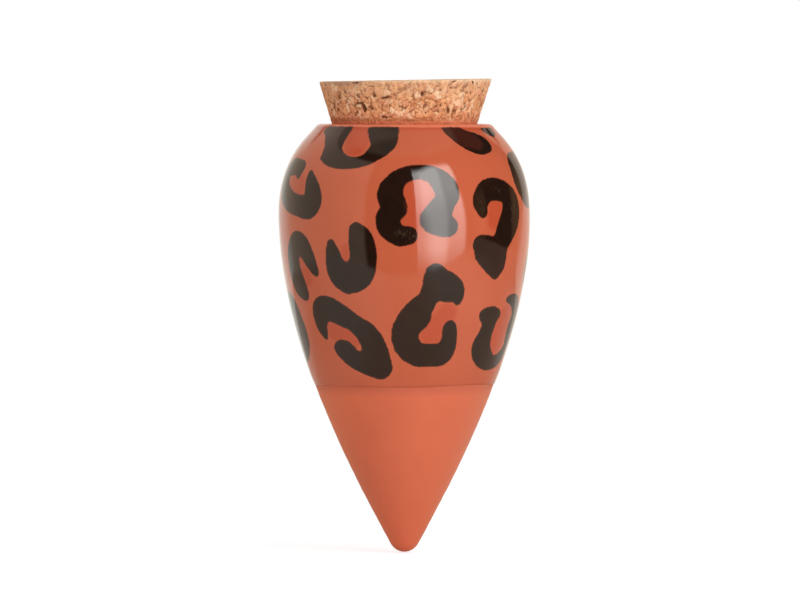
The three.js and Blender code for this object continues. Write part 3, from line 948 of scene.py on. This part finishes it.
# The softbox as the gloss mirrors it, in degrees up and to the right of the front, seen from the belly.
# It fades at its foot, its top and both sides, by degrees up or by the share of the way across.
SOFTBOX_FAR = 1300.0
SOFTBOX_CENTRE = (0, 0, 60)
SOFTBOX_ROWS = 81
SOFTBOX_COLUMNS = 61
SOFTBOX_BOTTOM = -36.0
SOFTBOX_TOP = 48.0
SOFTBOX_LEFT = (10.7, -0.075)
SOFTBOX_RIGHT = [(-36, 64.0), (0, 58.4), (11, 55.4), (20, 52.4), (29, 53.4), (40, 53.4), (47, 52.4)]
FOOT_DARK = -23
FOOT_LIT = -8.5
FOOT_LIT_RISE = 4.5
FOOT_TILT = (0.45, 0.7)
FOOT_SPILL = 0.06
FOOT_SPILL_TOP = -20
LEFT_DIM = 0.31
LEFT_DIM_LOW = 0.23
LEFT_LOW = (-6, 4)
LEFT_LIT = 0.2
LEFT_LIT_LOW = 0.16
LEFT_DARK = 0.04
RIGHT_DIM = 0.28
RIGHT_DIM_LOW = 0.12
RIGHT_LOW = (-4, 10)
RIGHT_FADE = (0.52, 0.66)
RIGHT_END = (1.0, 0.9)
TOP_LIT = 34
TOP_LIT_RISE = 6
TOP_DROP = 5
TOP_TILT = (0.1, 0.5)
LOWER_HALF = 0.72
LOWER_HALF_TOP = (-4, 22)

# Edges of the room's parts as the gloss mirrors them: a unit vector's part right, back or up.
CEILING_UP = (0.83, 0.88)
DIM_RIGHT = (0.90, 0.93)
DIM_FRONT = (-0.12, -0.2)
DIM_BACK = (0.42, 0.5)
DIM_BACK_RIGHT = (0.4, 0.6)
DIM_UP = (0.40, 0.10)
WALL_HIGH_UP = (0.3, 0.65)
WALL_EDGE_BACK = 0.588
WALL_EDGE_RIGHT = 0.809
WALL_EDGE_BLUR = 0.04
WALL_TOP_UP = (0.77, 0.73)
WALL_TALL_BACK = (-0.2, 0.0)
WALL_TALL_SHARE = 0.55
WALL_END_BACK = (0.79, 0.73)
WALL_END_UP = (0.42, 0.36)
BACKDROP_LOW_UP = (0.08, 0.0)
BACKDROP_MIDDLE = (-0.2, 0.2)
BACKDROP_EDGE = (0.58, 0.76)
BACKDROP_TOP = (0.45, 0.39)


def new_sheet(name, grid):
    """Mesh of an open grid in millimetres, row after row."""
    rows, columns = grid.shape[:2]
    index = np.arange(rows * columns).reshape(rows, columns)
    faces = np.stack([index[:-1, :-1], index[:-1, 1:], index[1:, 1:], index[1:, :-1]], axis=-1)
    mesh = bpy.data.meshes.new(name)
    mesh.from_pydata((grid.reshape(-1, 3) * MM).tolist(), [], faces.reshape(-1, 4).tolist())
    sheet = bpy.data.objects.new(name, mesh)
    bpy.context.scene.collection.objects.link(sheet)
    return sheet


def smooth_rise(values, low, high):
    """Smooth step from 0 at low to 1 at high, or down from 1 to 0 if low is the larger."""
    share = np.clip((values - low) / (high - low), 0, 1)
    return share**2 * (3 - 2 * share)


across = np.linspace(-FLOOR_HALF_WIDTH, FLOOR_HALF_WIDTH, FLOOR_POINTS)[None]
forward = np.linspace(-FLOOR_FRONT - FLOOR_FADE, FLOOR_BACK, FLOOR_POINTS)[:, None]
floor_places = np.broadcast_arrays(across, forward, FLOOR_HEIGHT)
floor = new_sheet("table", np.stack(floor_places, axis=-1))
beside = np.abs(across)
inside = smooth_rise(across, -FLOOR_LEFT - 3 * FLOOR_FADE, -FLOOR_LEFT)
carry(floor, "near", smooth_rise(forward, -FLOOR_FRONT - FLOOR_FADE, -FLOOR_FRONT) * inside)
# Painted light and shade on the table where the glaze mirrors it: the pot's shadow close by, brighter
# beside and in front of it, backlit far behind, darker far to the right.
carry(floor, "bright", smooth_rise(beside, *BRIGHT_BESIDE) * smooth_rise(-forward, *BRIGHT_IN_FRONT))
carry(floor, "far", smooth_rise(floor_places[0], *FAR_RIGHT))
carry(floor, "backlit", smooth_rise(forward, *BACKLIT_BEHIND) * smooth_rise(beside, *BACKLIT_BESIDE))
floor_material, finish = new_finish("pale_table")
near = finish.mark("near")
seen = finish.add("LightPath", {}, {}, "Is Camera Ray")
mirrored = finish.add("LightPath", {}, {}, "Is Glossy Ray")
gleam = finish.mix(finish.mark("bright"), FLOOR_CREAM, FLOOR_BRIGHT)
gleam = finish.mix(finish.mark("far"), gleam, FLOOR_FAR)
gleam = finish.mix(finish.mark("backlit"), gleam, FLOOR_BACKLIT)
cloth = finish.mix(mirrored, FLOOR_PALE, gleam)
cloth = finish.mix(seen, cloth, finish.mix(near, BLACK, FLOOR_WHITE))
glow_share = seen * (1 - (1 - FLOOR_GLOW) * near)
glow = finish.add("Emission", {}, {"Color": WHITE, "Strength": glow_share})
lit = finish.add("BsdfDiffuse", {}, {"Color": cloth})
table_top = finish.add("AddShader", {}, {0: glow, 1: lit})
under = finish.add("NewGeometry", {}, {}, "Backfacing")
clear = finish.add("BsdfTransparent", {}, {})
open_share = under.maths("MAXIMUM", under, mirrored * (1 - near))
finish.end("Material", finish.add("MixShader", {}, {0: open_share, 1: table_top, 2: clear}))
floor.data.materials.append(floor_material)

rise = np.linspace(SOFTBOX_BOTTOM, SOFTBOX_TOP, SOFTBOX_ROWS)[:, None]
across = np.linspace(0, 1, SOFTBOX_COLUMNS)[None]
left_side = SOFTBOX_LEFT[0] + SOFTBOX_LEFT[1] * rise
right_side = np.interp(rise, *np.array(SOFTBOX_RIGHT).T)
turn = np.radians(left_side + (right_side - left_side) * across)
lift = np.radians(rise)
softbox_ways = [np.cos(lift) * np.sin(turn), -np.cos(lift) * np.cos(turn), np.sin(lift)]
softbox_ways = np.stack(np.broadcast_arrays(*softbox_ways), axis=-1)
softbox = new_sheet("softbox", SOFTBOX_FAR * softbox_ways + SOFTBOX_CENTRE)
foot_tilt = smooth_rise(across, *FOOT_TILT)
foot_fade = smooth_rise(rise, FOOT_DARK, FOOT_LIT + FOOT_LIT_RISE * foot_tilt)
foot_spill = FOOT_SPILL * smooth_rise(rise, SOFTBOX_BOTTOM, FOOT_SPILL_TOP)
low_left = smooth_rise(-rise, *LEFT_LOW)
left_dim = LEFT_DIM + LEFT_DIM_LOW * low_left
left_fade = 1 - left_dim * smooth_rise(across, LEFT_LIT + LEFT_LIT_LOW * low_left, LEFT_DARK)
right_dim = RIGHT_DIM + RIGHT_DIM_LOW * smooth_rise(-rise, *RIGHT_LOW)
right_fade = 1 - right_dim * smooth_rise(across, *RIGHT_FADE)
right_end = smooth_rise(across, *RIGHT_END)
top_tilt = smooth_rise(across, *TOP_TILT)
top_dark = SOFTBOX_TOP - TOP_DROP * (1 - top_tilt)
top_fade = smooth_rise(rise, top_dark, TOP_LIT + TOP_LIT_RISE * top_tilt)
upward = LOWER_HALF + (1 - LOWER_HALF) * smooth_rise(rise, *LOWER_HALF_TOP)
fading = np.maximum(upward * foot_fade, foot_spill)
carry(softbox, "glow", fading * left_fade * right_fade * top_fade * right_end)
softbox_material, finish = new_finish("softbox_cloth")
glare = finish.mark("glow") * SOFTBOX_GLARE
finish.end("Material", finish.add("Emission", {}, {"Color": SOFTBOX_WHITE, "Strength": glare}))
softbox.data.materials.append(softbox_material)
softbox.visible_camera = False
softbox.visible_diffuse = False
softbox.visible_shadow = False

world = bpy.data.worlds.new("white_room")
bpy.context.scene.world = world
world.use_nodes = True
finish = Finish(world.node_tree)
seen = finish.add("LightPath", {}, {}, "Is Camera Ray")
mirrored = finish.add("LightPath", {}, {}, "Is Glossy Ray")
through = finish.add("LightPath", {}, {}, "Is Transmission Ray")
way = finish.add("TexCoord", {}, {}, "Generated")
right, back, up = (finish.add("SeparateXYZ", {}, {"Vector": way}, axis) for axis in "XYZ")
room = finish.mix(up.rise(*CEILING_UP), ROOM_DARK, CEILING_PALE)
beside_softbox = right.rise(*DIM_RIGHT) * back.rise(*DIM_FRONT)
beside_backdrop = back.rise(*DIM_BACK) * right.rise(*DIM_BACK_RIGHT)
room = finish.mix((beside_softbox + beside_backdrop) * up.rise(*DIM_UP), room, ROOM_DIM)
left_wall = finish.mix(up.rise(*WALL_HIGH_UP), WALL_PALE, WALL_HIGH)
wall_side = (WALL_EDGE_BACK * back - WALL_EDGE_RIGHT * right).rise(-WALL_EDGE_BLUR, WALL_EDGE_BLUR)
wall_tall = back.rise(*WALL_TALL_BACK) * WALL_TALL_SHARE
wall_top = up.maths("MAXIMUM", up.rise(*WALL_TOP_UP), wall_tall)
wall_back = back.maths("MAXIMUM", back.rise(*WALL_END_BACK), up.rise(*WALL_END_UP))
room = finish.mix(wall_side * wall_top * wall_back, room, left_wall)
backdrop = finish.mix(up.rise(*BACKDROP_LOW_UP), BACKDROP_RIGHT, BACKDROP_LOW)
backdrop = finish.mix(right.rise(*BACKDROP_MIDDLE), BACKDROP_LEFT, backdrop)
# The backdrop starts further back above the table, and nearer again high up on the left.
backdrop_edge = back + 0.01 - 0.22 * up.rise(-0.12, 0.14)
backdrop_edge = backdrop_edge + 0.10 * up.rise(0.25, 0.40) * right.rise(0.3, -0.3)
room = finish.mix(backdrop_edge.rise(*BACKDROP_EDGE) * up.rise(*BACKDROP_TOP), room, backdrop)
light = finish.mix(mirrored, ROOM_FILL, room)
light = finish.mix(seen + through, light, WHITE)
finish.end("World", finish.add("Background", {}, {"Color": light, "Strength": 1.0}))


def lamp(name, place, aim, size, radiance):
    """Flat lamp that lights matt surfaces and isn't mirrored: its power is pi x radiance x area."""
    light = bpy.data.lights.new(name, "AREA")
    light.shape = "RECTANGLE"
    light.size, light.size_y = size
    light.energy = np.pi * radiance * size[0] * size[1]
    stand = bpy.data.objects.new(name, light)
    stand.location = place
    stand.rotation_euler = (Vector(aim) - Vector(place)).to_track_quat("-Z", "Y").to_euler()
    stand.visible_camera = False
    stand.visible_glossy = False
    bpy.context.scene.collection.objects.link(stand)


lamp("softbox_light", SOFTBOX_PLACE, SOFTBOX_AIM, SOFTBOX_SIZE, SOFTBOX_LIGHT)
lamp("wall_light", WALL_PLACE, WALL_AIM, WALL_SIZE, WALL_LIGHT)

view = bpy.data.cameras.new("camera")
view.lens = CAMERA_LENS
view.sensor_width = CAMERA_SENSOR
view.clip_end = CAMERA_REACH
camera = bpy.data.objects.new("camera", view)
camera.location = CAMERA_PLACE
camera.rotation_euler = (Vector(CAMERA_AIM) - Vector(CAMERA_PLACE)).to_track_quat("-Z", "Y").to_euler()
bpy.context.scene.collection.objects.link(camera)
bpy.context.scene.camera = camera
bpy.context.scene.view_settings.view_transform = "Standard"
